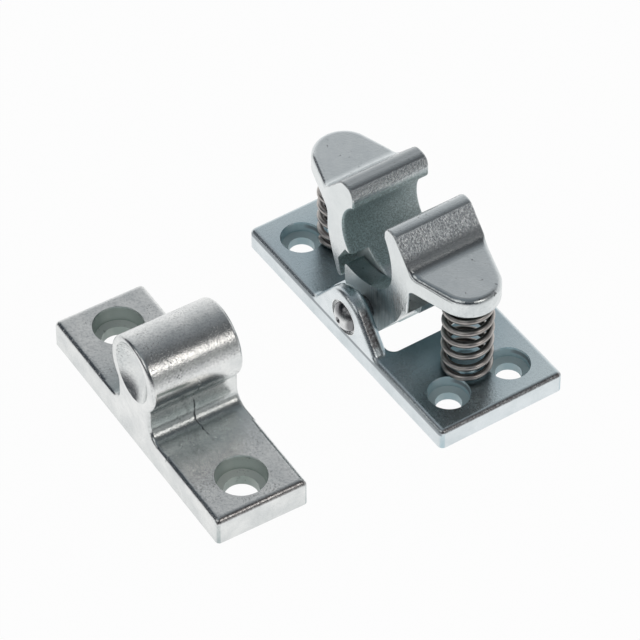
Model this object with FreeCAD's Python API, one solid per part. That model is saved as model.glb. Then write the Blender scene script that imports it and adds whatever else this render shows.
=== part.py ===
import FreeCAD, Part
import math
import os

# Door retainer: a catch with two sprung jaws on a base plate, and the striker that the jaws grip.
# All sizes are in millimetres. X runs along the catch's base plate, Y runs along the pivot pin,
# Z points away from the surface that both halves are screwed to. The origin is the middle of the
# catch's underside.

V = FreeCAD.Vector
Z_UP = V(0, 0, 1)
Y_AWAY = V(0, 1, 0)

# Base plate of the catch
plate_length = 70.0
plate_width = 30.0
plate_height = 4.8
plate_corner = 1.2
plate_top_round = 1.1
screw_end_inset = 8.3
screw_side_inset = 7.6
screw_x = plate_length / 2 - screw_end_inset
screw_y = plate_width / 2 - screw_side_inset
screw_hole_radius = 2.75
screw_sink_radius = 4.5
screw_sink_foot = 4.2
screw_sink_depth = 2.3
screw_sink_cone = 0.5
window_half_length = 11.4
window_half_width = 11.0
window_corner = 2.0

# Ears that carry the pin
pin_height = 8.1
ear_top_radius = 6.6
ear_foot_x = 11.0
ear_foot_round = 1.6
ear_outer_round = 1.1
ear_inner_round = 2.0

# Pivot pin with a riveted head at each end
pin_radius = 2.5
pin_press_gap = 0.01
pin_running_gap = 0.08
rivet_radius = 3.3
rivet_rim = 0.5
rivet_flank_deg = 31.0
rivet_swell = 0.3
rivet_seat_radius = 3.95
rivet_seat_depth = 0.7
rivet_dimple_radius = 0.75
rivet_dimple_depth = 0.55

# Compression springs
spring_end_inset = 12.6
spring_x = plate_length / 2 - spring_end_inset
spring_outer_radius = 5.4
wire_radius = 0.72
spring_pitch = 3.34
closed_pitch = 1.35
closed_turns = 0.5
easing_turns = 0.3
right_spring_start_deg = 190.0
left_spring_start_deg = 250.0
spring_seat_gap = 0.05
stub_radius = 3.3
stub_height = 1.5
stub_chamfer = 0.4

# Jaws: the right one is a fork with two noses, the left one has a tongue that lies between them.
# The wall keeps clear of the spring, and the wing's round tip lies over it.
jaw_half_width = 9.3
tongue_half_width = 4.8
slot_gap = 0.3
seat_x = 0.8
seat_height = 24.3
seat_radius = 8.0
right_crown_radius = 15.0
left_crown_radius = 8.4
floor_join_deg = 42.0
floor_radius = 17.0
right_lip_x = 5.75
left_lip_x = 5.15
lip_top = 36.0
lip_back_x = 9.5
lip_round = 2.3
wall_spring_gap = 2.8
wall_out_x = spring_x - spring_outer_radius - wall_spring_gap
wall_foot_x = wall_out_x + 1.2
wing_top = 29.5
wing_under = 24.8
wing_sweep = 3.2
wing_top_round = 1.3
wing_under_round = 0.4
wing_tip_x = spring_x - 0.5
wing_tip_radius = 6.8
wing_flank_deg = 17.4
wing_root_round = 8.0
wall_low = 18.0
knuckle_radius = 5.7
nose_end_x = -8.1
nose_end_round = 0.9
pocket_foot_z = 14.2
lip_corner_round = 0.7
jaw_edge_round = 0.5
tongue_edge_round = 1.0

# Striker
striker_x = -0.73
striker_y = -54.23
striker_turn_deg = -2.06
striker_length = 64.8
striker_width = 20.9
striker_plate = 6.5
striker_corner = 0.9
striker_top_round = 1.4
head_radius = 8.35
head_height = 19.4
neck_half = 6.0
neck_foot_x = 9.4
neck_foot_round = 3.0
neck_top_round = 2.0
head_edge_round = 0.9
dish_depth = 2.6
dish_half_width = 6.1
dish_half_height = 7.1
dish_height = 20.0
striker_screw_x = 24.2
striker_hole_radius = 3.6
striker_sink_radius = 5.4
striker_sink_foot = 5.0
striker_sink_depth = 3.5
striker_sink_cone = 0.6

# How far cutting tools and raw blanks run past the part
past = 60.0


def rounded_outline(corners, to_point):
    """Closed wire through corners given as (a, b, radius), each corner rounded by its radius."""
    count = len(corners)
    cuts = []
    for i in range(count):
        ax, ay, radius = corners[i]
        px, py = corners[i - 1][:2]
        nx, ny = corners[(i + 1) % count][:2]
        before = (px - ax, py - ay)
        after = (nx - ax, ny - ay)
        before_len = math.hypot(*before)
        after_len = math.hypot(*after)
        u = (before[0] / before_len, before[1] / before_len)
        w = (after[0] / after_len, after[1] / after_len)
        half = math.acos(max(-1.0, min(1.0, u[0] * w[0] + u[1] * w[1]))) / 2
        if radius <= 0 or half > math.radians(89.9):
            cuts.append(((ax, ay), None, (ax, ay)))
            continue
        run = radius / math.tan(half)
        start = (ax + u[0] * run, ay + u[1] * run)
        end = (ax + w[0] * run, ay + w[1] * run)
        mid_dir = (u[0] + w[0], u[1] + w[1])
        mid_len = math.hypot(*mid_dir)
        reach = radius / math.sin(half) - radius
        middle = (ax + mid_dir[0] / mid_len * reach, ay + mid_dir[1] / mid_len * reach)
        cuts.append((start, middle, end))
    edges = []
    for i in range(count):
        start, middle, end = cuts[i]
        if middle is not None:
            edges.append(Part.Arc(to_point(*start), to_point(*middle), to_point(*end)).toShape())
        follow = cuts[(i + 1) % count][0]
        if math.hypot(follow[0] - end[0], follow[1] - end[1]) > 1e-6:
            edges.append(Part.makeLine(to_point(*end), to_point(*follow)))
    return Part.Wire(edges)


def side_slab(corners, y_from, y_to):
    """Rounded outline in the XZ plane, extruded along Y."""
    wire = rounded_outline(corners, lambda a, b: V(a, y_from, b))
    return Part.Face(wire).extrude(V(0, y_to - y_from, 0))


def plan_slab(corners, z_from, z_to):
    """Rounded outline in the XY plane, extruded along Z."""
    wire = rounded_outline(corners, lambda a, b: V(a, b, z_from))
    return Part.Face(wire).extrude(V(0, 0, z_to - z_from))


def rod_y(radius, x, z, y_from, y_to):
    return Part.makeCylinder(radius, y_to - y_from, V(x, y_from, z), Y_AWAY)


def rod_z(radius, x, y, z_from, z_to):
    return Part.makeCylinder(radius, z_to - z_from, V(x, y, z_from), Z_UP)


def rectangle(half_x, half_y, radius):
    return [
        (-half_x, -half_y, radius),
        (half_x, -half_y, radius),
        (half_x, half_y, radius),
        (-half_x, half_y, radius),
    ]


def round_edges(shape, radius, wanted):
    """Fillet the edges that the test accepts; edges that cannot be rounded stay sharp."""
    picked = [edge for edge in shape.Edges if wanted(edge)]
    try:
        rounded = shape.makeFillet(radius, picked)
        if rounded.isValid() and rounded.Volume > 0:
            return rounded
    except Exception:
        pass
    for edge in picked:
        try:
            found = [e for e in shape.Edges if e.CenterOfMass.distanceToPoint(edge.CenterOfMass) < 1e-4]
            rounded = shape.makeFillet(radius, found)
            if rounded.isValid() and len(rounded.Solids) == 1:
                shape = rounded
        except Exception:
            continue
    return shape


def round_edges_along(shape, radius_at, wanted):
    """Fillet the edges that the test accepts, with a radius that depends on the place along X."""
    document = FreeCAD.newDocument("rounding")
    blank = document.addObject("Part::Feature", "blank")
    blank.Shape = shape
    rounding = document.addObject("Part::Fillet", "rounded")
    rounding.Base = blank
    sizes = []
    for number, edge in enumerate(shape.Edges, 1):
        if wanted(edge):
            start = radius_at(edge.valueAt(edge.FirstParameter).x)
            end = radius_at(edge.valueAt(edge.LastParameter).x)
            sizes.append((number, end, start))
    rounding.Edges = sizes
    document.recompute()
    rounded = rounding.Shape.copy()
    FreeCAD.closeDocument(document.Name)
    if rounded.isNull() or not rounded.isValid():
        return shape
    return rounded


def one_solid(shape):
    clean = shape.removeSplitter()
    return clean.Solids[0] if len(clean.Solids) == 1 else clean


def screw_hole(x, y, top, hole_radius, sink_radius, sink_foot, sink_depth, sink_cone):
    """Counterbored hole: a slightly tapered wall, and a shelf that falls towards the through hole."""
    profile = [
        V(x, y, -1),
        V(x + hole_radius, y, -1),
        V(x + hole_radius, y, top - sink_depth - sink_cone),
        V(x + sink_foot, y, top - sink_depth),
        V(x + sink_radius, y, top),
        V(x + sink_radius, y, top + 1),
        V(x, y, top + 1),
        V(x, y, -1),
    ]
    return Part.Face(Part.makePolygon(profile)).revolve(V(x, y, 0), Z_UP, 360)


def is_level(edge, height, tolerance=0.01):
    box = edge.BoundBox
    return abs(box.ZMin - height) < tolerance and abs(box.ZMax - height) < tolerance


def make_base_plate():
    half_x = plate_length / 2
    half_y = plate_width / 2
    plate = plan_slab(rectangle(half_x, half_y, plate_corner), 0, plate_height)
    plate = round_edges(plate, plate_top_round, lambda e: is_level(e, plate_height))
    window = rectangle(window_half_length, window_half_width, window_corner)
    plate = plate.cut(plan_slab(window, -1, plate_height + 1))
    additions = []
    for side in (-1, 1):
        inner = side * window_half_width
        outer = side * half_y
        ear = make_ear(min(inner, outer), max(inner, outer))
        ear = round_edges(ear, ear_outer_round, lambda e: ear_rim(e, outer))
        ear = round_edges(ear, ear_inner_round, lambda e: ear_rim(e, inner))
        additions.append(ear)
        additions.append(spring_stub(side * spring_x, plate_height, 1))
    body = plate.fuse(additions)
    seat_y = half_y - rivet_seat_depth
    cuts = [
        rod_y(pin_radius + pin_press_gap, 0, pin_height, -half_y - 1, half_y + 1),
        rod_y(rivet_seat_radius, 0, pin_height, -half_y - 1, -seat_y),
        rod_y(rivet_seat_radius, 0, pin_height, seat_y, half_y + 1),
    ]
    for sx in (-1, 1):
        for sy in (-1, 1):
            cuts.append(
                screw_hole(
                    sx * screw_x, sy * screw_y, plate_height, screw_hole_radius,
                    screw_sink_radius, screw_sink_foot, screw_sink_depth, screw_sink_cone,
                )
            )
    return one_solid(body.cut(cuts))


def make_ear(y_from, y_to):
    """Rounded triangle standing on the plate, with a small concave foot on each slope."""
    rise = pin_height - plate_height
    distance = math.hypot(ear_foot_x, rise)
    to_centre = math.atan2(rise, -ear_foot_x)
    swing = math.asin(ear_top_radius / distance)
    slope = to_centre - swing
    apex_z = plate_height + ear_foot_x * math.tan(math.pi - slope)
    skirt = ear_foot_x + 3.0
    low = plate_height - 2.5
    corners = [
        (-skirt, low, 0),
        (skirt, low, 0),
        (skirt, plate_height, 0),
        (ear_foot_x, plate_height, ear_foot_round),
        (0, apex_z, ear_top_radius),
        (-ear_foot_x, plate_height, ear_foot_round),
        (-skirt, plate_height, 0),
    ]
    return side_slab(corners, y_from, y_to)


def ear_rim(edge, y_face):
    box = edge.BoundBox
    on_face = abs(box.YMin - y_face) < 0.01 and abs(box.YMax - y_face) < 0.01
    return on_face and box.ZMax > plate_height + 0.05 and box.ZMin > plate_height - 0.01


def spring_stub(x, seat_z, direction):
    """Low round stub that keeps an end of a spring in place; direction is 1 up and -1 down."""
    profile = [
        V(0, 0, -1.0),
        V(stub_radius, 0, -1.0),
        V(stub_radius, 0, stub_height - stub_chamfer),
        V(stub_radius - stub_chamfer, 0, stub_height),
        V(0, 0, stub_height),
        V(0, 0, -1.0),
    ]
    stub = Part.Face(Part.makePolygon(profile)).revolve(V(0, 0, 0), Z_UP, 360)
    if direction < 0:
        stub.rotate(V(0, 0, 0), V(1, 0, 0), 180)
    stub.translate(V(x, 0, seat_z))
    return stub


def make_pivot_pin():
    seat_y = plate_width / 2 - rivet_seat_depth
    shank = rod_y(pin_radius, 0, pin_height, -seat_y, seat_y)
    return one_solid(shank.fuse([rivet_head(-1, seat_y), rivet_head(1, seat_y)]))


def rivet_head(side, seat_y):
    """Rivet head with a swelling cone for a flank and the pit that the riveting tool leaves."""
    rim_y = seat_y + rivet_rim
    flank = math.radians(rivet_flank_deg)
    run = rivet_radius - rivet_dimple_radius
    crest_y = rim_y + run * math.tan(flank)
    middle_x = rivet_dimple_radius + run / 2 + rivet_swell * math.sin(flank)
    middle_y = (rim_y + crest_y) / 2 + rivet_swell * math.cos(flank)
    crest = V(rivet_dimple_radius, crest_y, 0)
    rim = V(rivet_radius, rim_y, 0)
    pit = V(0, crest_y - rivet_dimple_depth, 0)
    wire = Part.Wire(
        [
            Part.makeLine(pit, crest),
            Part.Arc(crest, V(middle_x, middle_y, 0), rim).toShape(),
            Part.makeLine(rim, V(rivet_radius, seat_y, 0)),
            Part.makeLine(V(rivet_radius, seat_y, 0), V(0, seat_y, 0)),
            Part.makeLine(V(0, seat_y, 0), pit),
        ]
    )
    head = Part.Face(wire).revolve(V(0, 0, 0), Y_AWAY, 360)
    if side < 0:
        head.rotate(V(0, 0, 0), Z_UP, 180)
    head.translate(V(0, 0, pin_height))
    return head


def jaw_wall(lip_x):
    """Lip, wall and wing, the same across the whole width; the wing's end is trimmed later."""
    return [
        (lip_x, wall_low, 0),
        (wall_out_x, wall_low, 0),
        (wall_out_x + 0.5, wing_under, 1.6),
        (past, wing_under, 0),
        (past, wing_top, 0),
        (wall_foot_x, wing_top, wing_sweep),
        (lip_back_x, lip_top, lip_round),
        (lip_x, lip_top, lip_round),
    ]


def nose_profile():
    """Knuckle round the pin, with the nose that reaches across under the seat."""
    return [
        (3.0, 25.0, 0),
        (nose_end_x, 16.5, 0),
        (nose_end_x + 0.3, pin_height + 1.0, 2.0),
        (-4.4, 4.2, 0),
        (0, 3.6, 0),
        (4.58, 4.71, 0),
        (11.1, 13.6, 6.0),
        (wall_out_x, 21.0, 3.0),
        (wall_out_x, 25.0, 0),
    ]


def pocket_profile(with_tail):
    """Wall behind the other jaw's nose; on the left jaw it ends in a thin tail."""
    if with_tail:
        foot = [(10.4, 13.6, 0.8), (9.1, 9.0, 0.5), (10.5, 9.0, 0.7), (12.4, 13.6, 4.0)]
    else:
        foot = [(10.4, pocket_foot_z, 0.8), (12.7, pocket_foot_z, 1.0)]
    return [(7.0, 25.0, 0), (7.0, 20.0, 0), (7.45, 18.7, 0.5)] + foot + [
        (wall_out_x, 19.0, 4.0),
        (wall_out_x, 25.0, 0),
    ]


def floor_centre():
    """Centre of the long arc that the seat's arc runs into."""
    join = math.radians(floor_join_deg)
    offset = floor_radius - seat_radius
    return seat_x - offset * math.sin(join), seat_height + offset * math.cos(join)


def floor_tool():
    """What is cut away above a nose: the seat's arc and the long arc that it runs into."""
    reach = jaw_half_width + 2
    bore = rod_y(seat_radius, seat_x, seat_height, -reach, reach)
    join = math.radians(floor_join_deg)
    floor_x, floor_z = floor_centre()
    join_x = seat_x + seat_radius * math.sin(join)
    join_z = seat_height - seat_radius * math.cos(join)
    keep = side_slab(
        [
            (nose_end_x - 6, 8, 0),
            (floor_x, 8, 0),
            (join_x, join_z, 0),
            (seat_x, seat_height, 0),
            (seat_x, past, 0),
            (nose_end_x - 6, past, 0),
        ],
        -reach,
        reach,
    )
    return bore.fuse(rod_y(floor_radius, floor_x, floor_z, -reach, reach).common(keep))


def seat_tool(crown_radius):
    """The seat: a bore for the striker's head, with its own radius above its widest place."""
    reach = jaw_half_width + 2
    bore = rod_y(seat_radius, seat_x, seat_height, -reach, reach)
    keep = side_slab(
        [(seat_x, seat_height, 0), (past, seat_height, 0), (past, past, 0), (seat_x, past, 0)],
        -reach,
        reach,
    )
    crown = rod_y(crown_radius, seat_x + seat_radius - crown_radius, seat_height, -reach, reach)
    return bore.fuse(crown.common(keep))


def runs_along_y(edge, x, z, tolerance=0.3):
    box = edge.BoundBox
    flat = box.XLength < 0.01 and box.ZLength < 0.01
    return flat and abs(box.Center.x - x) < tolerance and abs(box.Center.z - z) < tolerance


def nose_slab(low, high, edge_round):
    """One knuckle with its nose, between two places along the pin."""
    slab = side_slab(nose_profile(), low, high)
    slab = slab.fuse(rod_y(knuckle_radius, 0, pin_height, low, high))
    slab = slab.cut(floor_tool()).removeSplitter()
    floor_x, floor_z = floor_centre()
    end_z = floor_z - math.sqrt(floor_radius ** 2 - (nose_end_x - floor_x) ** 2)
    slab = round_edges(slab, nose_end_round, lambda e: runs_along_y(e, nose_end_x, end_z, 0.6))
    if edge_round <= 0:
        return slab
    return round_edges(slab, edge_round, lambda e: is_floor_edge(e, low, high))


def is_floor_edge(edge, low, high):
    box = edge.BoundBox
    on_side = box.YLength < 0.01 and min(abs(box.YMin - low), abs(box.YMin - high)) < 0.01
    is_arc = hasattr(edge.Curve, "Radius") and edge.Curve.Radius > floor_radius - 0.1
    return on_side and is_arc


def upper_jaw(lip_x, crown_radius):
    """Lip, wall and flat thumb wing in one piece, with rims that grow rounder towards the wing."""
    half = jaw_half_width
    blank = side_slab(jaw_wall(lip_x), -half, half)
    blank = blank.common(Part.Face(wing_outline()).extrude(V(0, 0, past)))
    blank = one_solid(blank.cut(seat_tool(crown_radius)))
    blank = round_edges_along(blank, rim_round_at, is_upper_rim)
    return round_edges(blank, wing_under_round, lambda e: is_level(e, wing_under) and not is_straight_y(e))


def rim_round_at(x):
    """Radius of the upper rim: small on lip and wall, growing through the sweep to the wing's."""
    sweep_start = wall_foot_x - wing_sweep / 3
    sweep_end = wall_foot_x + wing_sweep / 3
    share = max(0.0, min(1.0, (x - sweep_start) / (sweep_end - sweep_start)))
    smooth = share * share * (3 - 2 * share)
    return jaw_edge_round + (wing_top_round - jaw_edge_round) * smooth


def is_straight_y(edge):
    box = edge.BoundBox
    return box.XLength < 0.01 and box.ZLength < 0.01


def is_upper_rim(edge):
    """Rims of lip, wall and wing, above the seat's arc."""
    box = edge.BoundBox
    on_side = abs(abs(edge.CenterOfMass.y) - jaw_half_width) < 0.01
    beyond = edge.CenterOfMass.x > wall_foot_x - wing_sweep
    high = box.ZMin > wing_top - 0.01
    return high and (on_side or beyond) and not is_straight_y(edge)


def wing_outline():
    """Plan outline of a jaw: straight beside the seat, tapering to the wing's round tip."""
    slope = math.radians(wing_flank_deg)
    touch_x = wing_tip_x + wing_tip_radius * math.sin(slope)
    touch_y = wing_tip_radius * math.cos(slope)
    half = jaw_half_width
    root_x = touch_x - (half - touch_y) / math.tan(slope)
    run = wing_root_round * math.tan(slope / 2)
    bend_start = root_x - run
    bend_mid = (
        bend_start + wing_root_round * math.sin(slope / 2),
        half - wing_root_round * (1 - math.cos(slope / 2)),
    )
    bend_end = (root_x + run * math.cos(slope), half - run * math.sin(slope))
    tip = V(wing_tip_x + wing_tip_radius, 0, 0)
    edges = [Part.Arc(V(touch_x, -touch_y, 0), tip, V(touch_x, touch_y, 0)).toShape()]
    for side in (-1, 1):
        start = V(0, side * half, 0)
        bend_from = V(bend_start, side * half, 0)
        bend_by = V(bend_mid[0], side * bend_mid[1], 0)
        bend_to = V(bend_end[0], side * bend_end[1], 0)
        edges.append(Part.makeLine(start, bend_from))
        edges.append(Part.Arc(bend_from, bend_by, bend_to).toShape())
        edges.append(Part.makeLine(bend_to, V(touch_x, side * touch_y, 0)))
    edges.append(Part.makeLine(V(0, -half, 0), V(0, half, 0)))
    return Part.Wire(Part.__sortEdges__(edges))


def make_jaw(with_tongue):
    """A jaw that stands on the +X side; it opens as its wing goes down."""
    wide = jaw_half_width
    tongue = tongue_half_width
    fork = tongue_half_width + slot_gap
    lip_x = left_lip_x if with_tongue else right_lip_x
    crown_radius = left_crown_radius if with_tongue else right_crown_radius
    pieces = [spring_stub(spring_x, wing_under, -1)]
    if with_tongue:
        pieces.append(nose_slab(-tongue, tongue, tongue_edge_round))
        pieces.append(side_slab(pocket_profile(True), -wide, -tongue))
        pieces.append(side_slab(pocket_profile(True), tongue, wide))
    else:
        pieces.append(nose_slab(-wide, -fork, 0))
        pieces.append(nose_slab(fork, wide, 0))
        pieces.append(side_slab(pocket_profile(False), -fork, fork))
    jaw = upper_jaw(lip_x, crown_radius).fuse(pieces)
    jaw = jaw.cut(seat_tool(crown_radius))
    jaw = jaw.cut(rod_y(pin_radius + pin_running_gap, 0, pin_height, -wide - 1, wide + 1))
    jaw = one_solid(jaw)
    crown_x = seat_x + seat_radius - crown_radius
    lip_z = seat_height + math.sqrt(crown_radius ** 2 - (lip_x - crown_x) ** 2)
    return one_solid(round_edges(jaw, lip_corner_round, lambda e: runs_along_y(e, lip_x, lip_z)))


def make_spring(x, start_deg):
    """Round-wire spring whose pitch eases off towards both ends."""
    radius = spring_outer_radius - wire_radius
    low = plate_height + spring_seat_gap + wire_radius
    high = wing_under - spring_seat_gap - wire_radius
    rise = high - low
    closed_rise = closed_pitch * closed_turns
    ease_rise = (closed_pitch + spring_pitch) / 2 * easing_turns
    open_turns = (rise - 2 * closed_rise - 2 * ease_rise) / spring_pitch
    total = open_turns + 2 * closed_turns + 2 * easing_turns
    per_turn = 16
    count = int(round(total * per_turn))
    points = []
    for i in range(count + 1):
        turn = total * i / count
        angle = math.radians(start_deg) + 2 * math.pi * turn
        height = spring_climb(turn, total, rise)
        points.append(V(radius * math.cos(angle), radius * math.sin(angle), height))
    curve = Part.BSplineCurve()
    curve.interpolate(points)
    path = Part.Wire(curve.toShape())
    start, along = curve.value(curve.FirstParameter), curve.tangent(curve.FirstParameter)[0]
    section = Part.Wire(Part.makeCircle(wire_radius, start, along))
    coil = path.makePipeShell([section], True, True)
    coil.translate(V(x, 0, low))
    return coil.Solids[0] if coil.Solids else coil


def spring_climb(turn, total, rise):
    """Rise of the wire up to a turn, with the pitch easing in and out at the closed ends."""
    if turn > total / 2:
        return rise - spring_climb(total - turn, total, rise)
    if turn <= closed_turns:
        return closed_pitch * turn
    climbed = closed_pitch * closed_turns
    eased = min(turn - closed_turns, easing_turns)
    gain = (spring_pitch - closed_pitch) / easing_turns
    climbed += closed_pitch * eased + gain * eased ** 2 / 2
    return climbed + spring_pitch * max(0.0, turn - closed_turns - easing_turns)


def make_striker():
    half_x = striker_length / 2
    half_y = striker_width / 2
    plate = plan_slab(rectangle(half_x, half_y, striker_corner), 0, striker_plate)
    plate = round_edges(plate, striker_top_round, lambda e: is_level(e, striker_plate))
    head = rod_y(head_radius, 0, head_height, -half_y, half_y)
    side_drop = math.sqrt(head_radius ** 2 - neck_half ** 2)
    neck = side_slab(
        [
            (-neck_foot_x - 3, striker_plate - 2, 0),
            (neck_foot_x + 3, striker_plate - 2, 0),
            (neck_foot_x + 3, striker_plate, 0),
            (neck_half, striker_plate, neck_foot_round),
            (neck_half, head_height - 4.0, 0),
            (-neck_half, head_height - 4.0, 0),
            (-neck_half, striker_plate, neck_foot_round),
            (-neck_foot_x - 3, striker_plate, 0),
        ],
        -half_y,
        half_y,
    )
    post = head.fuse(neck).removeSplitter()
    crease = head_height - side_drop
    for side in (-1, 1):
        post = round_edges(post, neck_top_round, lambda e: runs_along_y(e, side * neck_half, crease))
    post = round_edges(post, head_edge_round, lambda e: is_head_rim(e, half_y))
    body = one_solid(plate.fuse(post))
    cuts = []
    for side in (-1, 1):
        cuts.append(dish(side, half_y))
        cuts.append(
            screw_hole(
                side * striker_screw_x, 0, striker_plate, striker_hole_radius,
                striker_sink_radius, striker_sink_foot, striker_sink_depth, striker_sink_cone,
            )
        )
    body = body.cut(cuts)
    body.rotate(V(0, 0, 0), Z_UP, striker_turn_deg)
    body.translate(V(striker_x, striker_y, 0))
    return one_solid(body)


def dish(side, half_y):
    """Shallow hollow with an oval rim, higher than it is wide, for an end face of the head."""
    ball = (dish_half_width ** 2 + dish_depth ** 2) / (2 * dish_depth)
    hollow = Part.makeSphere(ball, V(0, side * (half_y - dish_depth + ball), 0))
    stretch = FreeCAD.Matrix()
    stretch.scale(1, 1, dish_half_height / dish_half_width)
    hollow = hollow.transformGeometry(stretch)
    hollow.translate(V(0, 0, dish_height))
    return hollow


def is_head_rim(edge, half_y):
    box = edge.BoundBox
    on_side = box.YLength < 0.01 and abs(abs(box.YMin) - half_y) < 0.01
    return on_side and box.ZMin > striker_plate - 0.01 and box.ZMax > striker_plate + 0.1


def save(name, shape):
    shape.exportStep("parts/" + name + ".step")
    print(name, shape.ShapeType, "solids", len(shape.Solids), "valid", shape.isValid(),
          "volume", round(shape.Volume, 1))


def main():
    os.makedirs("parts", exist_ok=True)
    save("base_plate", make_base_plate())
    save("pivot_pin", make_pivot_pin())
    right = make_jaw(False)
    left = make_jaw(True)
    left.rotate(V(0, 0, 0), Z_UP, 180)
    save("right_jaw", right)
    save("left_jaw", left)
    save("right_spring", make_spring(spring_x, right_spring_start_deg))
    save("left_spring", make_spring(-spring_x, left_spring_start_deg))
    save("striker", make_striker())


main()
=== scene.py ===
import math
import bpy
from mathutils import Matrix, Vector


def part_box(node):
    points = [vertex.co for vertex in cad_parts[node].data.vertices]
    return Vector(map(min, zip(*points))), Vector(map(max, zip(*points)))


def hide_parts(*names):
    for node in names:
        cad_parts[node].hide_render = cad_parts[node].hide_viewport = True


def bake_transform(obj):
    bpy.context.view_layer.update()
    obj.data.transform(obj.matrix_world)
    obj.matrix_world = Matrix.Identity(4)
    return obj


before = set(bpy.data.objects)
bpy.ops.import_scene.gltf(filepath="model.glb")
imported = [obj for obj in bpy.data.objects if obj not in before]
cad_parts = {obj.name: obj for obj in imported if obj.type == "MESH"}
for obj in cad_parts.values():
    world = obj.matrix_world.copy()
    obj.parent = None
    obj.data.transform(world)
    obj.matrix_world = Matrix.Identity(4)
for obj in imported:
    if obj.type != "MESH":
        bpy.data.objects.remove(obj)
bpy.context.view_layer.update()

# Blender works in metres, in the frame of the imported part. What ends in _MM or _mm is in
# millimetres, and so are the places and the depths of relief in the finishes.
MM = 0.001

# Camera at the photograph's angle, in degrees and metres; sensor and lens in millimetres
CAMERA_AZIMUTH = 56.154
CAMERA_ELEVATION = 45.901
CAMERA_TARGET = Vector((-9.0385, -14.6236, -0.6177)) * MM
CAMERA_DISTANCE = 932.25 * MM
CAMERA_CLIP = (0.05, 20.0)
SENSOR_MM = 36.0
LENS_MM = 254.78

# One lamp. Its left edge lies between the striker and the catch, so that only the striker's
# head mirrors it squarely
LAMP_PLACE = Vector((0.495, 0.041, 0.369))
LAMP_AIM = Vector((0.046, -0.159, 0.025))
LAMP_SIZE = (0.27, 0.212)
LAMP_POWER = 0.30
LAMP_TONE = (1.0, 0.95, 0.90)

FLOOR_SIZE = 6.0

# Bright spots of the surround that the metal mirrors: direction, the cosines at which they
# begin and are full, and tone
BRIGHT_SPOTS = (
    ((0.26, -0.72, 0.64), 0.93, 0.985, (0.98, 0.98, 0.97)),
    ((-0.31, -0.80, 0.51), 0.972, 0.99, (0.95, 0.95, 0.94)),
)

# Springs, as in the part: wire, coil and the pitch that eases off at both ends
PLATE_TOP = 4.8 * MM
WING_UNDER = 24.8 * MM
SPRING_X_MM = 22.4
WIRE_RADIUS = 0.72 * MM
COIL_RADIUS = 4.68 * MM
SPRING_PITCH = 3.34 * MM
CLOSED_PITCH = 1.35 * MM
CLOSED_TURNS = 0.5
EASING_TURNS = 0.3
SPRING_STARTS = {"right": 190.0, "left": 250.0}
SEAT_GAP = 0.05 * MM
RINGS_PER_TURN = 56
POINTS_PER_RING = 18
# Broken edge of the wire's cut ends: turns from the end and share of the wire's radius
CUT_EDGE = ((0.0, 0.55), (0.004, 0.9), (0.008, 1.0))
# How far before and after a ring the wire's direction is taken
TANGENT_TURNS = 0.002

# Screw holes, as in the part: middle of their pattern, their distance from it along x and y,
# and the counterbore's radius and top. The striker's turn of two degrees is left out.
PLATE_HOLES_MM = {"centre": (0.0, 0.0), "spacing": (26.7, 7.4), "radius": 4.5, "top": 4.8}
STRIKER_HOLES_MM = {"centre": (-0.73, -54.23), "spacing": (24.2, 0.0), "radius": 5.4, "top": 6.5}

# Round seats of the rivet heads on the ears, as in the part
PIN_HEIGHT_MM = 8.1
RIVET_SEAT_RADIUS_MM = 3.95
RIVET_SEAT_Y_MM = 14.3

# Direction of the machine lines on the jaws' side faces, and how they are drawn out
CUT_TURN = (0.0, math.radians(-31.0), 0.0)
CUT_STRETCH = (2.6, 0.4, 0.10)
FLECK_STRETCH = (2.0, 4.2, 2.0)

# Sockets of the Mix node that carry colours
MIX_A, MIX_B, MIX_RESULT = 6, 7, 2
HOLLOW_SAMPLES = 6

WHITE = (1.0, 1.0, 1.0)


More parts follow.
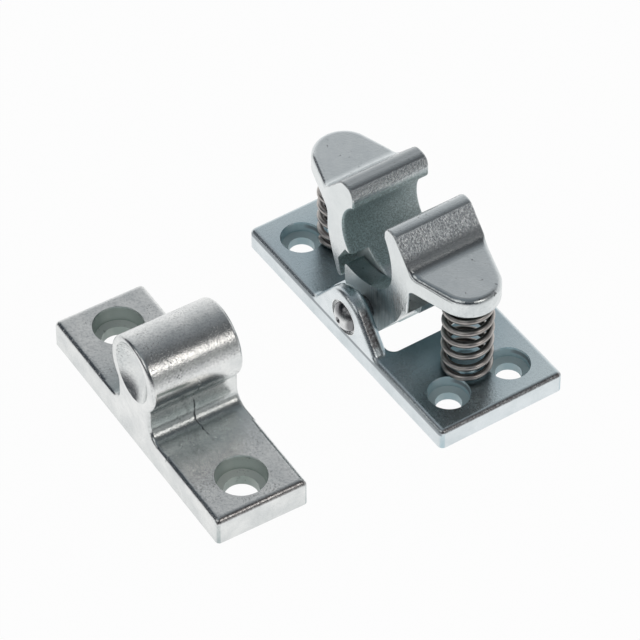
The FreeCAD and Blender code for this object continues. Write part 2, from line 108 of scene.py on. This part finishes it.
class Nodes:
    """Short way to build a node tree: add nodes by type and link them by name."""

    def __init__(self, tree):
        self.tree = tree
        tree.nodes.clear()

    def add(self, kind, **settings):
        node = self.tree.nodes.new(kind)
        for name, value in settings.items():
            setattr(node, name, value)
        return node

    def link(self, source, target):
        self.tree.links.new(source, target)

    def feed(self, value, socket):
        """Sets a socket to a number or a colour, or links it to another node's output."""
        if isinstance(value, tuple):
            socket.default_value = (*value, 1.0)
        elif isinstance(value, (int, float)):
            socket.default_value = value
        else:
            self.link(value, socket)

    def coordinates(self, scale=(1.0, 1.0, 1.0), turn=(0.0, 0.0, 0.0)):
        """Place on the object in millimetres, stretched by scale."""
        place = self.add("ShaderNodeTexCoord")
        mapping = self.add("ShaderNodeMapping")
        mapping.inputs["Scale"].default_value = [share / MM for share in scale]
        mapping.inputs["Rotation"].default_value = turn
        self.link(place.outputs["Object"], mapping.inputs["Vector"])
        return mapping.outputs["Vector"]

    def part_of(self, output, axis):
        """One axis of a texture coordinate."""
        place = self.add("ShaderNodeTexCoord")
        parts = self.add("ShaderNodeSeparateXYZ")
        self.link(place.outputs[output], parts.inputs["Vector"])
        return parts.outputs[axis]

    def facing(self, axis):
        """Share of the surface's own direction along an object axis, from -1 to 1."""
        return self.part_of("Normal", axis)

    def place_mm(self, axis):
        """Place on the object along an axis in millimetres."""
        return self.times(self.part_of("Object", axis), 1 / MM)

    def hollow(self, reach_mm):
        """How enclosed a place is, from 0 in the open to 1 deep in a corner."""
        shade = self.add("ShaderNodeAmbientOcclusion", samples=HOLLOW_SAMPLES)
        shade.inputs["Distance"].default_value = reach_mm * MM
        return self.inverse(shade.outputs["AO"])

    def noise(self, vector, scale, detail, roughness):
        """Noise from 0 to 1 with about scale features to a millimetre."""
        node = self.add("ShaderNodeTexNoise")
        node.inputs["Scale"].default_value = scale
        node.inputs["Detail"].default_value = detail
        node.inputs["Roughness"].default_value = roughness
        self.link(vector, node.inputs["Vector"])
        return node.outputs["Fac"]

    def spread(self, value, low, high, to_low=0.0, to_high=1.0):
        """Clamped linear map of a value."""
        node = self.add("ShaderNodeMapRange")
        node.inputs["From Min"].default_value = low
        node.inputs["From Max"].default_value = high
        node.inputs["To Min"].default_value = to_low
        node.inputs["To Max"].default_value = to_high
        self.link(value, node.inputs["Value"])
        return node.outputs["Result"]

    def math(self, operation, a, b=0.0):
        node = self.add("ShaderNodeMath", operation=operation)
        self.feed(a, node.inputs[0])
        self.feed(b, node.inputs[1])
        return node.outputs["Value"]

    def times(self, first, *others):
        product = first
        for factor in others:
            product = self.math("MULTIPLY", product, factor)
        return product

    def inverse(self, value):
        return self.math("SUBTRACT", 1.0, value)

    def absolute(self, value):
        return self.math("ABSOLUTE", value)

    def away(self, value, centre):
        """Distance of a value from a centre."""
        return self.absolute(self.math("SUBTRACT", value, centre))

    def length(self, a, b):
        """Distance over two sides at a right angle."""
        squares = self.math("ADD", self.math("POWER", a, 2.0), self.math("POWER", b, 2.0))
        return self.math("SQRT", squares)

    def mix_color(self, factor, a, b):
        node = self.add("ShaderNodeMix", data_type="RGBA")
        self.link(factor, node.inputs["Factor"])
        self.feed(a, node.inputs[MIX_A])
        self.feed(b, node.inputs[MIX_B])
        return node.outputs[MIX_RESULT]

    def ramp(self, value, stops):
        """Colour by value, linear between stops given as (place, colour)."""
        node = self.add("ShaderNodeValToRGB")
        elements = node.color_ramp.elements
        elements[0].position, elements[0].color = stops[0][0], (*stops[0][1], 1.0)
        elements[1].position, elements[1].color = stops[-1][0], (*stops[-1][1], 1.0)
        for place, color in stops[1:-1]:
            element = elements.new(place)
            element.color = (*color, 1.0)
        self.link(value, node.inputs["Fac"])
        return node.outputs["Color"]


class Finish(Nodes):
    """A metal's surface, built up in layers of colour, roughness and relief."""

    def __init__(self, name):
        self.material = bpy.data.materials.new(name)
        self.material.use_nodes = True
        super().__init__(self.material.node_tree)
        self.shader = self.add("ShaderNodeBsdfPrincipled")
        self.shader.inputs["Metallic"].default_value = 1.0
        output = self.add("ShaderNodeOutputMaterial")
        self.link(self.shader.outputs["BSDF"], output.inputs["Surface"])
        self.plain = self.coordinates()
        self.color = None
        self.roughness = None
        self.normal = None

    def paint(self, mask, tone, strength=1.0):
        """Covers the colour with a tone where the mask is 1."""
        if strength < 1.0:
            mask = self.times(mask, strength)
        self.color = self.mix_color(mask, self.color, tone)

    def cloud(self, scale, light, dark, mask=None):
        """First layer: a tone that drifts between light and dark."""
        clouds = self.spread(self.noise(self.plain, scale, 4.0, 0.6), 0.35, 0.68)
        if mask is not None:
            clouds = self.times(clouds, mask)
        self.color = self.mix_color(clouds, light, dark)

    def uneven_gloss(self, low, high):
        patches = self.noise(self.plain, 0.9, 5.0, 0.6)
        self.roughness = self.spread(patches, 0.3, 0.75, low, high)

    def dull(self, mask, roughness):
        """Makes the surface at least this rough where the mask is 1."""
        self.roughness = self.math("MAXIMUM", self.roughness, self.times(mask, roughness))

    def emboss(self, height, strength, depth_mm):
        """Adds relief from a height, whose strength is a number or a mask."""
        node = self.add("ShaderNodeBump")
        self.feed(strength, node.inputs["Strength"])
        node.inputs["Distance"].default_value = depth_mm * MM
        self.link(height, node.inputs["Height"])
        if self.normal is not None:
            self.link(self.normal, node.inputs["Normal"])
        self.normal = node.outputs["Normal"]

    def finished(self):
        self.link(self.color, self.shader.inputs["Base Color"])
        self.link(self.roughness, self.shader.inputs["Roughness"])
        self.link(self.normal, self.shader.inputs["Normal"])
        return self.material


class CastZinc(Finish):
    """Bright zinc plating on a casting. Flat side faces get less tarnish and painted shade."""

    def __init__(self, name, light, dark):
        super().__init__(name)
        self.cloud(0.22, light, dark)
        side = self.spread(self.absolute(self.facing("Y")), 0.80, 0.97)
        flat = self.math("MAXIMUM", side, self.spread(self.facing("X"), 0.95, 0.99))
        self.open_face = self.inverse(self.times(flat, 0.85))
        self.relief = None

    def weather(self, tarnish, gloss, reach_mm, recess_shade):
        """Grey mottling, uneven gloss, and painted shade with a film's tint in the recesses, where
        the relief calms down.
        """
        mottle = self.spread(self.noise(self.plain, 1.9, 4.0, 0.65), 0.46, 0.66)
        self.paint(self.times(mottle, self.open_face), (0.34, 0.35, 0.37), tarnish)
        self.uneven_gloss(*gloss)
        depth = self.hollow(reach_mm)
        # Painted shade in the recesses, in the given tone
        self.paint(self.times(self.spread(depth, 0.08, 0.75), self.open_face), recess_shade)
        film = self.spread(depth, 0.15, 0.6, 0.0, 0.14)
        self.roughness = self.math("ADD", self.roughness, film)
        self.relief = self.times(self.open_face, self.spread(depth, 0.25, 0.6, 1.0, 0.15))

    def in_holes(self, centre, spacing, radius, top):
        """1 inside the upright holes at plus and minus spacing from a centre, 0 elsewhere.

        It starts below the upper face, so its radius can have a margin without marking that face.
        """
        aside = self.away(self.away(self.place_mm("X"), centre[0]), spacing[0])
        along = self.away(self.away(self.place_mm("Y"), centre[1]), spacing[1])
        within = self.spread(self.length(aside, along), radius + 0.9, radius + 0.7)
        return self.times(within, self.spread(self.place_mm("Z"), top - 0.25, top - 0.6))

    def film_holes(self, holes, wall, shelf):
        """A dull film in the screw holes, so that they mirror less."""
        inside = self.in_holes(**holes)
        on_shelf = self.times(inside, self.spread(self.facing("Z"), 0.6, 0.9))
        self.paint(inside, wall, 0.85)
        self.paint(on_shelf, shelf)
        self.dull(inside, 0.42)
        self.dull(on_shelf, 0.75)
        self.relief = self.times(self.relief, self.inverse(inside))
        self.link(self.inverse(self.times(inside, 0.65)), self.shader.inputs["Metallic"])

    def grain(self, strength):
        """Coarse and fine relief of the cast skin."""
        coarse = self.noise(self.plain, 1.9, 3.0, 0.6)
        fine = self.noise(self.plain, 4.2, 2.0, 0.6)
        self.emboss(coarse, self.times(self.relief, strength), 0.22)
        self.emboss(fine, self.times(self.relief, 0.1 + 0.8 * strength), 0.08)

    def dark_specks(self, strength):
        """Small sunk specks that gather in some areas."""
        area = self.spread(self.noise(self.plain, 0.16, 3.0, 0.6), 0.50, 0.64)
        spots = self.spread(self.noise(self.plain, 2.6, 2.0, 0.5), 0.61, 0.66)
        spots = self.times(spots, self.times(area, self.open_face))
        self.paint(spots, (0.10, 0.10, 0.10), strength)
        self.emboss(self.inverse(spots), 0.6, 0.12)

    def dark_edge_band(self, low_mm, high_mm):
        """Ragged dark band on the rounded upper edge that faces along x, between two heights."""
        tall = self.place_mm("Z")
        band = self.times(
            self.spread(tall, low_mm - 0.2, low_mm), self.spread(tall, high_mm + 0.1, high_mm))
        rounded = self.times(
            self.spread(self.facing("Z"), 0.2, 0.4), self.spread(self.facing("X"), 0.25, 0.5))
        ragged = self.spread(self.noise(self.plain, 3.0, 3.0, 0.7), 0.38, 0.60, 0.35, 0.9)
        self.paint(self.times(band, rounded, ragged), (0.19, 0.17, 0.17))


def plate_zinc():
    """Catch's base plate: teal film on its top, painted light at its ends and in the rivet seats,
    painted shade in the recesses and along the long sides, dull holes, dark edges and painted dark
    reflections on the ears' rims.
    """
    finish = CastZinc("plate_zinc", light=(0.80, 0.84, 0.86), dark=(0.68, 0.73, 0.75))
    top = finish.spread(finish.facing("Z"), 0.9, 0.99)
    finish.paint(top, (0.525, 0.635, 0.69), 0.8)
    # Painted light: the top grows lighter towards its outer ends, away from the parts that shade
    # its middle
    slant = finish.times(finish.place_mm("Y"), 0.5)
    outward = finish.math("ADD", finish.absolute(finish.place_mm("X")), slant)
    finish.paint(finish.times(finish.spread(outward, 20.0, 38.0), top), (0.76, 0.86, 0.89))
    finish.weather(tarnish=0.15, gloss=(0.22, 0.30), reach_mm=14.0, recess_shade=(0.33, 0.50, 0.565))
    finish.film_holes(PLATE_HOLES_MM, wall=(0.52, 0.67, 0.71), shelf=(0.66, 0.78, 0.80))

    # Painted light: the rivet heads' seats are near white and dull, which lifts the shade in the
    # gap around each head
    up = finish.math("SUBTRACT", finish.place_mm("Z"), PIN_HEIGHT_MM)
    from_pin = finish.length(up, finish.place_mm("X"))
    from_middle = finish.absolute(finish.place_mm("Y"))
    seat = finish.times(
        finish.spread(from_pin, RIVET_SEAT_RADIUS_MM + 0.2, RIVET_SEAT_RADIUS_MM + 0.1),
        finish.spread(from_middle, RIVET_SEAT_Y_MM - 0.4, RIVET_SEAT_Y_MM - 0.1))
    finish.paint(seat, (0.95, 0.96, 0.96))
    finish.dull(seat, 0.6)
    finish.grain(strength=0.12)
    finish.dark_edge_band(low_mm=3.9, high_mm=4.85)

    # Painted shade: a dark line along the upper edge of the two long sides
    tall = finish.place_mm("Z")
    across = finish.absolute(finish.facing("Y"))
    line = finish.times(finish.spread(tall, 3.25, 3.6), finish.spread(tall, 4.35, 4.15))
    line = finish.times(line, finish.spread(across, 0.6, 0.8))
    finish.paint(line, (0.25, 0.28, 0.30), 0.9)

    # Painted dark reflection on the ears' sloping rims, ragged at its edge
    sloped = finish.spread(finish.absolute(finish.facing("X")), 0.55, 0.75)
    rim = finish.times(sloped, finish.spread(across, 0.45, 0.15), finish.spread(tall, 6.0, 6.8))
    rim = finish.times(rim, finish.inverse(seat))
    ragged = finish.spread(finish.noise(finish.plain, 1.6, 4.0, 0.7), 0.35, 0.6, 0.55, 1.0)
    finish.paint(finish.times(rim, ragged), (0.15, 0.14, 0.145))
    return finish.finished()


def pin_zinc():
    """Rivet: its head is bright below, with painted shade on the side that faces up and to the
    right and in the gap around it.
    """
    finish = CastZinc("pin_zinc", light=(0.80, 0.81, 0.81), dark=(0.60, 0.61, 0.62))
    finish.weather(tarnish=0.15, gloss=(0.14, 0.22), reach_mm=1.2, recess_shade=(0.10, 0.10, 0.11))
    finish.grain(strength=0.1)
    # Painted shade on the upper and the right-hand side of the head
    upper = finish.spread(finish.facing("Z"), 0.12, 0.42)
    right = finish.spread(finish.facing("X"), 0.42, 0.6)
    finish.paint(finish.math("MAXIMUM", upper, right), (0.16, 0.16, 0.17), 0.85)
    return finish.finished()


def striker_zinc():
    """Striker: bright and tarnished, painted shade beside the neck and in the recesses, dark
    specks and a fine crack.
    """
    finish = CastZinc("striker_zinc", light=(0.83, 0.84, 0.83), dark=(0.68, 0.70, 0.70))
    middle = STRIKER_HOLES_MM["centre"]
    # Painted shade on the plate's top beside the neck
    neck_shade = finish.times(
        finish.spread(finish.away(finish.place_mm("X"), middle[0]), 20.0, 9.0),
        finish.spread(finish.facing("Z"), 0.8, 0.97),
        finish.spread(finish.place_mm("Z"), 12.0, 9.0))
    finish.paint(neck_shade, (0.42, 0.46, 0.47), 0.85)
    finish.weather(tarnish=0.35, gloss=(0.15, 0.24), reach_mm=12.0, recess_shade=(0.24, 0.32, 0.325))
    finish.film_holes(STRIKER_HOLES_MM, wall=(0.50, 0.57, 0.53), shelf=(0.80, 0.84, 0.80))
    finish.grain(strength=0.18)
    finish.dark_specks(strength=0.75)
    finish.dark_edge_band(low_mm=5.3, high_mm=6.6)
    crack(finish, middle[1])
    return finish.finished()


def crack(finish, middle_y):
    """A fine crack along the casting's parting line, down the neck and out onto the plate."""
    x = finish.place_mm("X")
    wander = finish.times(finish.noise(finish.plain, 0.35, 3.0, 0.6), 1.6)
    y = finish.math("ADD", finish.place_mm("Y"), finish.times(x, 0.036))
    off_line = finish.away(finish.math("ADD", y, wander), middle_y + 0.8)
    line = finish.times(
        finish.spread(off_line, 0.17, 0.06),
        finish.spread(x, 1.5, 1.8),
        finish.spread(x, 13.0, 11.5),
        finish.spread(finish.place_mm("Z"), 20.0, 19.0),
        finish.spread(finish.noise(finish.plain, 0.7, 3.0, 0.6), 0.36, 0.5))
    finish.paint(line, (0.04, 0.04, 0.045), 0.85)
    finish.emboss(finish.inverse(line), 0.8, 0.15)


def jaw_zinc():
    """Jaws: flecked walls with painted glints, painted shade on the left lip, in the right sweep
    and in the recesses, a dull teal seat, machine lines on the two side faces.
    """
    finish = Finish("jaw_zinc")
    side = finish.spread(finish.absolute(finish.facing("Y")), 0.85, 0.97)
    between_sides = finish.inverse(side)
    open_face = finish.inverse(finish.times(side, 0.7))
    depth = finish.hollow(9.0)
    tall = finish.place_mm("Z")
    inward = finish.times(finish.place_mm("X"), finish.facing("X"))
    seat = finish.times(
        finish.spread(inward, 0.0, -0.8), finish.spread(tall, 33.4, 32.2), between_sides)
    jaw_plating(finish, open_face)
    jaw_wall(finish, between_sides, depth)
    jaw_shade_and_pits(finish, between_sides)
    jaw_cuts(finish, side)
    jaw_film(finish, seat, depth, open_face)
    return finish.finished()


def jaw_plating(finish, open_face):
    """Clouds and grey patches, and a tone of its own on top of each wing."""
    finish.cloud(0.25, light=(0.77, 0.80, 0.80), dark=(0.61, 0.65, 0.66), mask=open_face)
    patches = finish.spread(finish.noise(finish.plain, 1.5, 4.0, 0.7), 0.4, 0.65)
    finish.paint(finish.times(patches, open_face), (0.45, 0.47, 0.48), 0.22)
    left_wing = finish.spread(finish.place_mm("X"), -10.0, -14.0)
    wing_tone = finish.mix_color(left_wing, (0.61, 0.65, 0.67), (0.73, 0.77, 0.79))
    finish.paint(finish.spread(finish.facing("Z"), 0.5, 0.9), wing_tone, 0.6)


def jaw_wall(finish, between_sides, depth):
    """Relief of the cast skin, calmer on the wings, and coarse flecks on the steep walls, dark
    ones and painted white glints.
    """
    tall, upward = finish.place_mm("Z"), finish.facing("Z")
    wall = finish.times(
        between_sides,
        finish.spread(upward, 0.90, 0.76), finish.spread(upward, -0.1, 0.1),
        finish.spread(tall, 30.0, 31.5))
    skin = finish.times(
        between_sides,
        finish.spread(depth, 0.2, 0.5, 1.0, 0.35), finish.spread(tall, 32.5, 34.5, 0.24, 0.34))
    flecks = finish.noise(finish.coordinates(FLECK_STRETCH), 1.0, 3.0, 0.7)
    finish.emboss(finish.noise(finish.plain, 3.2, 2.0, 0.6), skin, 0.15)
    finish.emboss(finish.noise(finish.plain, 5.5, 3.0, 0.6), 0.1, 0.08)
    finish.emboss(flecks, finish.times(wall, 0.95), 0.34)
    finish.paint(finish.times(finish.spread(flecks, 0.48, 0.60), wall), (0.24, 0.25, 0.27), 0.85)
    # Painted glints: the white flecks on the steep walls
    finish.paint(finish.times(finish.spread(flecks, 0.44, 0.36), wall), (0.98, 0.97, 0.96))


def jaw_shade_and_pits(finish, between_sides):
    """Painted shade where the right wall sweeps into its wing and on the left lip, and a few dark
    pits.
    """
    tall, x = finish.place_mm("Z"), finish.place_mm("X")
    # Painted shade in the sweep of the right wall into its wing
    sweep = finish.times(
        finish.spread(tall, 32.7, 31.5), finish.spread(tall, 29.6, 30.3),
        finish.spread(x, 5.0, 8.0), between_sides)
    finish.paint(sweep, (0.19, 0.20, 0.21), 0.85)
    pits = finish.spread(finish.noise(finish.plain, 1.2, 2.0, 0.5), 0.70, 0.74)
    finish.paint(finish.times(pits, between_sides), (0.10, 0.10, 0.11), 0.8)
    # Painted shade on the left lip's crown
    lip = finish.times(
        finish.spread(x, -4.2, -5.0), finish.spread(tall, 33.6, 34.8), between_sides)
    finish.paint(lip, (0.36, 0.38, 0.39), 0.6)


def jaw_cuts(finish, side):
    """Slanting machine lines, strongest low on the right jaw's side faces."""
    lines = finish.noise(finish.coordinates(CUT_STRETCH, CUT_TURN), 1.3, 2.0, 0.5)
    low = finish.spread(finish.place_mm("Z"), 22.0, 16.0, 0.05, 1.0)
    cut = finish.times(side, low, finish.spread(finish.place_mm("X"), -1.0, 2.0))
    finish.emboss(lines, finish.times(cut, 0.7), 0.12)
    finish.paint(finish.times(finish.spread(lines, 0.5, 0.68), cut), (0.36, 0.41, 0.43), 0.75)


def jaw_film(finish, seat, depth, open_face):
    """Painted shade with a teal film in the recesses, a teal film down the seat, and dark speckle
    in the seat.
    """
    # Painted shade in the recesses, teal
    recess_shade = finish.times(finish.spread(depth, 0.12, 0.6), open_face, finish.inverse(seat))
    finish.paint(recess_shade, (0.35, 0.465, 0.475), 0.85)
    thinning = finish.spread(finish.place_mm("Y"), -7.0, 9.0, 0.85, 0.45)
    finish.paint(finish.times(seat, thinning), (0.55, 0.69, 0.70))
    speckle = finish.spread(finish.noise(finish.plain, 3.4, 3.0, 0.7), 0.40, 0.60)
    finish.paint(finish.times(speckle, seat), (0.17, 0.20, 0.19), 0.6)
    finish.uneven_gloss(0.15, 0.24)
    film = finish.spread(depth, 0.15, 0.45, 0.0, 0.38)
    finish.roughness = finish.math("ADD", finish.roughness, film)
    finish.dull(seat, 0.62)


def spring_steel():
    """Drawn spring wire with a thin brown film that is unevenly rubbed off, and painted shade
    between, inside and under the coils.
    """
    finish = Finish("spring_wire")
    patches = finish.spread(finish.noise(finish.plain, 0.5, 3.0, 0.6), 0.35, 0.7)
    finish.color = finish.mix_color(patches, (0.60, 0.57, 0.545), (0.39, 0.365, 0.345))
    # Painted shade where the coils crowd each other
    finish.paint(finish.spread(finish.hollow(5.0), 0.30, 0.60), (0.045, 0.04, 0.038))

    # Painted shade on the inside of the coil and on the wire's underside
    x = finish.place_mm("X")
    aside = finish.math("SUBTRACT", finish.absolute(x), SPRING_X_MM)
    to_outer_end = finish.times(finish.facing("X"), finish.math("SIGN", x))
    along_x = finish.times(aside, to_outer_end)
    along_y = finish.times(finish.place_mm("Y"), finish.facing("Y"))
    inner = finish.spread(finish.math("ADD", along_x, along_y), 1.0, -1.5, 0.0, 0.92)
    under = finish.spread(finish.facing("Z"), 0.25, -0.4, 0.0, 0.85)
    finish.paint(finish.math("MAXIMUM", inner, under), (0.05, 0.045, 0.042))
    finish.emboss(finish.noise(finish.plain, 3.0, 2.0, 0.6), 0.04, 0.05)
    patches = finish.noise(finish.plain, 1.2, 2.0, 0.6)
    finish.roughness = finish.spread(patches, 0.3, 0.7, 0.28, 0.34)
    return finish.finished()


def dress(node, material):
    """Gives a carried-over part its finish."""
    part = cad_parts[node]
    for slot in part.material_slots:
        slot.material = material
    if not part.material_slots:
        part.data.materials.append(material)


def spring_climb(turn, total, rise):
    """Rise of the wire up to a turn, with the pitch easing in and out at the closed ends."""
    if turn > total / 2:
        return rise - spring_climb(total - turn, total, rise)
    if turn <= CLOSED_TURNS:
        return CLOSED_PITCH * turn
    eased = min(turn - CLOSED_TURNS, EASING_TURNS)
    gain = (SPRING_PITCH - CLOSED_PITCH) / EASING_TURNS
    climbed = CLOSED_PITCH * CLOSED_TURNS + CLOSED_PITCH * eased + gain * eased ** 2 / 2
    return climbed + SPRING_PITCH * max(0.0, turn - CLOSED_TURNS - EASING_TURNS)


def spring_mesh(side):
    """Round wire swept along the coil, with slightly broken edges at its two cut ends."""
    low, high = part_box(side + "_spring")
    middle = (low + high) / 2
    bottom = PLATE_TOP + SEAT_GAP + WIRE_RADIUS
    rise = WING_UNDER - SEAT_GAP - WIRE_RADIUS - bottom
    ease_rise = (CLOSED_PITCH + SPRING_PITCH) / 2 * EASING_TURNS
    open_turns = (rise - 2 * CLOSED_PITCH * CLOSED_TURNS - 2 * ease_rise) / SPRING_PITCH
    total = open_turns + 2 * CLOSED_TURNS + 2 * EASING_TURNS
    start = math.radians(SPRING_STARTS[side])

    def wire_at(turn):
        angle = start + 2 * math.pi * turn
        height = bottom + spring_climb(min(max(turn, 0.0), total), total, rise)
        x = middle.x + COIL_RADIUS * math.cos(angle)
        return Vector((x, COIL_RADIUS * math.sin(angle), height))

    points = []
    rings = ring_places(total)
    for turn, size in rings:
        along = (wire_at(turn + TANGENT_TURNS) - wire_at(turn - TANGENT_TURNS)).normalized()
        angle = start + 2 * math.pi * turn
        outward = Vector((math.cos(angle), math.sin(angle), 0.0))
        upward = along.cross(outward).normalized()
        outward = upward.cross(along)
        centre = wire_at(turn)
        for k in range(POINTS_PER_RING):
            a = 2 * math.pi * k / POINTS_PER_RING
            spoke = outward * math.cos(a) + upward * math.sin(a)
            points.append(centre + spoke * WIRE_RADIUS * size)
    mesh = bpy.data.meshes.new(side + "_spring_coil")
    mesh.from_pydata(points, [], tube_faces(len(rings), POINTS_PER_RING))
    mesh.shade_smooth()
    mesh.validate()
    coil = bpy.data.objects.new(side + "_spring_coil", mesh)
    bpy.context.scene.collection.objects.link(coil)
    return coil


def ring_places(total):
    """Turn and relative size of every ring of points along the wire."""
    *edge, (inset, full) = CUT_EDGE
    count = int(total * RINGS_PER_TURN)
    rings = list(edge)
    rings += [(inset + (total - 2 * inset) * i / count, full) for i in range(count + 1)]
    rings += [(total - turn, size) for turn, size in reversed(edge)]
    return rings


def tube_faces(rings, points):
    """Faces of a tube from rings of points, closed at both ends."""
    faces = []
    for i in range(rings - 1):
        for k in range(points):
            j = (k + 1) % points
            near, far = i * points, (i + 1) * points
            faces.append((near + k, near + j, far + j, far + k))
    last = (rings - 1) * points
    faces.append(tuple(reversed(range(points))))
    faces.append(tuple(range(last, last + points)))
    return faces


def make_springs(material):
    for side in ("right", "left"):
        coil = spring_mesh(side)
        coil.data.materials.append(material)
        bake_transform(coil)
        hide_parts(side + "_spring")


def make_floor():
    """Pale floor: near white to the eye and in the metal, with a weak shadow of the object."""
    bpy.ops.mesh.primitive_plane_add(size=FLOOR_SIZE, location=(0, 0, 0))
    floor = bpy.context.object
    floor.name = "floor"
    material = bpy.data.materials.new("floor")
    material.use_nodes = True
    nodes = Nodes(material.node_tree)
    path = nodes.add("ShaderNodeLightPath")
    seen = nodes.math("MAXIMUM", path.outputs["Is Camera Ray"], path.outputs["Is Glossy Ray"])
    seen = nodes.math("MAXIMUM", seen, path.outputs["Is Transmission Ray"])
    matt = nodes.add("ShaderNodeBsdfDiffuse")
    nodes.feed((0.9, 0.9, 0.9), matt.inputs["Color"])

    # In the metal it greys off on the near side, where the table ends
    ends = nodes.math(
        "MAXIMUM",
        nodes.spread(nodes.place_mm("Y"), -110.0, -260.0),
        nodes.spread(nodes.place_mm("X"), 45.0, 150.0, 0.0, 0.55))
    ends = nodes.times(ends, nodes.inverse(path.outputs["Is Camera Ray"]))
    white = nodes.add("ShaderNodeEmission")
    nodes.link(nodes.mix_color(ends, WHITE, (0.30, 0.30, 0.31)), white.inputs["Color"])
    white.inputs["Strength"].default_value = 1.0

    # To the eye and in the metal it is nearly all white, and the matt rest carries the shadow
    mix = nodes.add("ShaderNodeMixShader")
    nodes.link(nodes.times(seen, 0.97), mix.inputs["Fac"])
    nodes.link(matt.outputs["BSDF"], mix.inputs[1])
    nodes.link(white.outputs["Emission"], mix.inputs[2])
    output = nodes.add("ShaderNodeOutputMaterial")
    nodes.link(mix.outputs["Shader"], output.inputs["Surface"])
    floor.data.materials.append(material)


def make_world():
    """Studio surround: a white backdrop that darkens upwards, dark to the right and nearby."""
    world = bpy.data.worlds.new("studio")
    bpy.context.scene.world = world
    world.use_nodes = True
    nodes = Nodes(world.node_tree)
    place = nodes.add("ShaderNodeTexCoord")
    parts = nodes.add("ShaderNodeSeparateXYZ")
    nodes.link(place.outputs["Generated"], parts.inputs["Vector"])
    x, y, z = parts.outputs["X"], parts.outputs["Y"], parts.outputs["Z"]
    height = nodes.spread(z, 0.0, 1.0)
    backdrop = nodes.ramp(height, [
        (0.0, (0.97, 0.97, 0.97)),
        (0.17, (0.90, 0.90, 0.90)),
        (0.36, (0.74, 0.75, 0.76)),
        (0.53, (0.66, 0.67, 0.68)),
        (0.67, (0.59, 0.60, 0.61)),
        (0.75, (0.52, 0.53, 0.54)),
        (0.83, (0.35, 0.365, 0.375)),
        (1.0, (0.28, 0.30, 0.32)),
    ])
    far_side = nodes.ramp(height, [
        (0.0, (0.40, 0.41, 0.41)),
        (0.20, (0.40, 0.41, 0.40)),
        (0.36, (0.18, 0.19, 0.20)),
        (0.50, (0.36, 0.36, 0.37)),
        (0.60, (0.30, 0.30, 0.31)),
        (0.71, (0.13, 0.135, 0.14)),
        (0.90, (0.14, 0.145, 0.15)),
        (1.0, (0.20, 0.22, 0.24)),
    ])
    near_side = nodes.ramp(height, [
        (0.0, (0.26, 0.26, 0.27)),
        (0.12, (0.12, 0.12, 0.13)),
        (0.25, (0.03, 0.04, 0.05)),
        (0.55, (0.04, 0.05, 0.06)),
        (0.80, (0.14, 0.16, 0.18)),
        (1.0, (0.22, 0.25, 0.27)),
    ])
    color = nodes.mix_color(nodes.spread(x, -0.3, 0.25), backdrop, far_side)
    nearby = nodes.math("SUBTRACT", nodes.times(x, 0.17), y)
    color = nodes.mix_color(nodes.spread(nearby, 0.02, 0.26), color, near_side)
    for direction, edge, core, tone in BRIGHT_SPOTS:
        nearness = nodes.add("ShaderNodeVectorMath", operation="DOT_PRODUCT")
        nodes.link(place.outputs["Generated"], nearness.inputs[0])
        nearness.inputs[1].default_value = direction
        spot = nodes.spread(nearness.outputs["Value"], edge, core)
        color = nodes.mix_color(spot, color, tone)
    behind = nodes.times(nodes.spread(y, 0.80, 0.90), nodes.spread(z, 0.62, 0.40))
    color = nodes.mix_color(behind, color, (0.85, 0.85, 0.85))
    path = nodes.add("ShaderNodeLightPath")
    color = nodes.mix_color(path.outputs["Is Camera Ray"], color, WHITE)
    background = nodes.add("ShaderNodeBackground")
    background.inputs["Strength"].default_value = 1.0
    nodes.link(color, background.inputs["Color"])
    output = nodes.add("ShaderNodeOutputWorld")
    nodes.link(background.outputs["Background"], output.inputs["Surface"])


def turn_towards(piece, direction):
    """Turns a lamp or camera so that it looks along a direction, upright."""
    piece.rotation_euler = direction.to_track_quat("-Z", "Y").to_euler()


def make_lamp():
    data = bpy.data.lights.new("soft_box", "AREA")
    data.shape = "RECTANGLE"
    data.size, data.size_y = LAMP_SIZE
    data.energy = LAMP_POWER
    data.color = LAMP_TONE
    lamp = bpy.data.objects.new("soft_box", data)
    lamp.location = LAMP_PLACE
    turn_towards(lamp, LAMP_AIM - LAMP_PLACE)
    bpy.context.scene.collection.objects.link(lamp)


def make_camera():
    data = bpy.data.cameras.new("camera")
    data.sensor_width = SENSOR_MM
    data.lens = LENS_MM
    data.clip_start, data.clip_end = CAMERA_CLIP
    camera = bpy.data.objects.new("camera", data)
    a = math.radians(CAMERA_AZIMUTH)
    e = math.radians(CAMERA_ELEVATION)
    back = Vector((math.sin(a) * math.cos(e), -math.cos(a) * math.cos(e), math.sin(e)))
    camera.location = CAMERA_TARGET + back * CAMERA_DISTANCE
    turn_towards(camera, -back)
    bpy.context.scene.collection.objects.link(camera)
    bpy.context.scene.camera = camera


def make_looks():
    jaws = jaw_zinc()
    dress("base_plate", plate_zinc())
    dress("left_jaw", jaws)
    dress("right_jaw", jaws)
    dress("pivot_pin", pin_zinc())
    dress("striker", striker_zinc())
    make_springs(spring_steel())


bpy.context.scene.view_settings.view_transform = "Standard"
make_looks()
make_floor()
make_world()
make_lamp()
make_camera()
